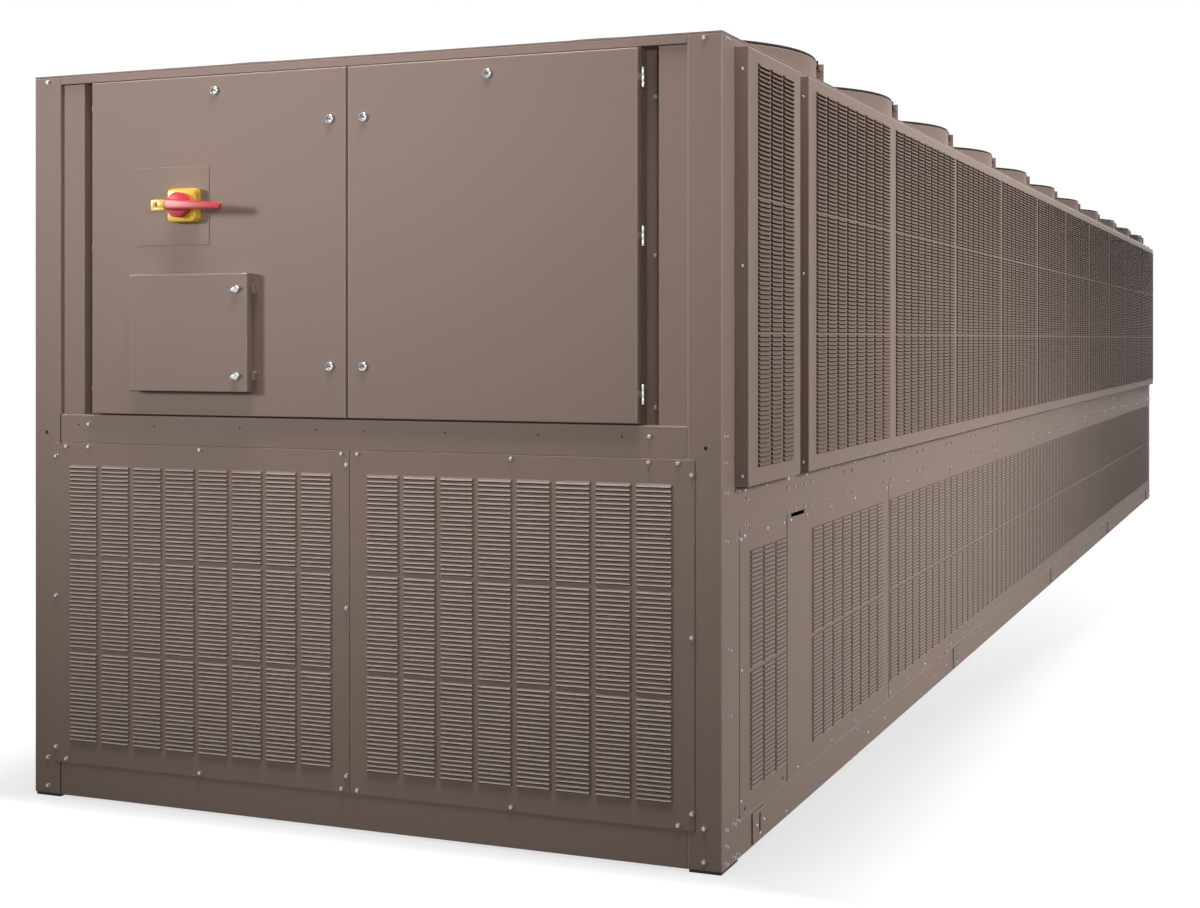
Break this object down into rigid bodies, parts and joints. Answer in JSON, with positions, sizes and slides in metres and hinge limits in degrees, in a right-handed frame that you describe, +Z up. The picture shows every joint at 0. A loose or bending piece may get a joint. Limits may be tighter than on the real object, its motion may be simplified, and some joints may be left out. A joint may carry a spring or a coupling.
{
  "type": "air-cooled chiller",
  "caption": "Long outdoor air-cooled chiller: a steel frame with louvred sides, rows of top fans, and a control cabinet with hinged doors, a rotary isolator and a covered display.",
  "frame": {"origin": "centre of the anchor-bolt pattern in the foot pads, on the ground", "axes": "+Z up, +Y along the length away from the control end, +X to the right of someone who faces the doors"},
  "size_m": [2.322, 12.1134, 2.295],
  "materials": {
    "taupe_paint": "satin powder coat",
    "chrome": "bright plated",
    "yellow_plastic": "semi-gloss",
    "red_plastic": "semi-gloss",
    "rubber": "matt",
    "guard_black": "dark wire coating",
    "fan_black": "matt",
    "coil_fins": "finned",
    "galvanised": "galvanised",
    "dark_plastic": "fine texture"
  },
  "bodies": {
    "unit": {"foot_pads": "rubber", "corner_posts": "taupe_paint", "side_base_rails": "taupe_paint", "end_base_rails": "taupe_paint", "base_cross_members": "taupe_paint", "side_mid_rails": "taupe_paint", "end_mid_rails": "taupe_paint", "end_headers": "taupe_paint", "side_top_rails": "taupe_paint", "upper_uprights": "taupe_paint", "lower_uprights": "taupe_paint", "end_mullions": "taupe_paint", "lifting_brackets": "taupe_paint", "fan_deck": "taupe_paint", "fan_cowls": "taupe_paint", "fan_guards": "guard_black", "fan_rotors": "fan_black", "fan_motors": "fan_black", "left_upper_louvre_panels": "taupe_paint", "left_lower_louvre_panels": "taupe_paint", "right_upper_louvre_panels": "taupe_paint", "right_lower_louvre_panels": "taupe_paint", "condenser_coils": "coil_fins", "plenum_floor": "taupe_paint", "front_left_louvre_panel": "taupe_paint", "front_right_louvre_panel": "taupe_paint", "rear_lower_louvre_panels": "taupe_paint", "rear_upper_panels": "taupe_paint", "cabinet_back": "taupe_paint", "cabinet_sides": "taupe_paint", "cabinet_top_and_floor": "taupe_paint", "mounting_plate": "galvanised", "isolator_switch": "dark_plastic", "recess_plates": "taupe_paint", "front_fillers": "taupe_paint", "cabinet_hinges": "chrome"},
    "left_door": {"left_door": "taupe_paint", "left_door_hinges": "chrome", "left_door_latches": "chrome", "switch_plate": "taupe_paint", "switch_escutcheon": "yellow_plastic", "cover_hinges": "chrome", "cover_keepers": "chrome", "display_unit": "dark_plastic"},
    "right_door": {"right_door": "taupe_paint", "right_door_hinges": "chrome", "right_door_latches": "chrome"},
    "display_cover": {"display_cover": "taupe_paint", "cover_latches": "chrome"},
    "switch_handle": {"switch_handle": "red_plastic", "switch_padlock_tab": "yellow_plastic"}
  },
  "joints": [
    {"name": "left_door_hinge", "type": "hinge", "parent": "unit", "child": "left_door", "pos_m": [-0.896, -6.0035, 1.6885], "axis": [0, 0, -1], "range_deg": [0, 100]},
    {"name": "right_door_hinge", "type": "hinge", "parent": "unit", "child": "right_door", "pos_m": [0.896, -6.0035, 1.6885], "axis": [0, 0, 1], "range_deg": [0, 100]},
    {"name": "display_cover_hinge", "type": "hinge", "parent": "left_door", "child": "display_cover", "pos_m": [-0.731, -6.0355, 1.431], "axis": [0, 0, -1], "range_deg": [0, 100]},
    {"name": "switch_handle_turn", "type": "hinge", "parent": "left_door", "child": "switch_handle", "pos_m": [-0.544, -6.0265, 1.808], "axis": [0, -1, 0], "range_deg": [0, 90]}
  ]
}
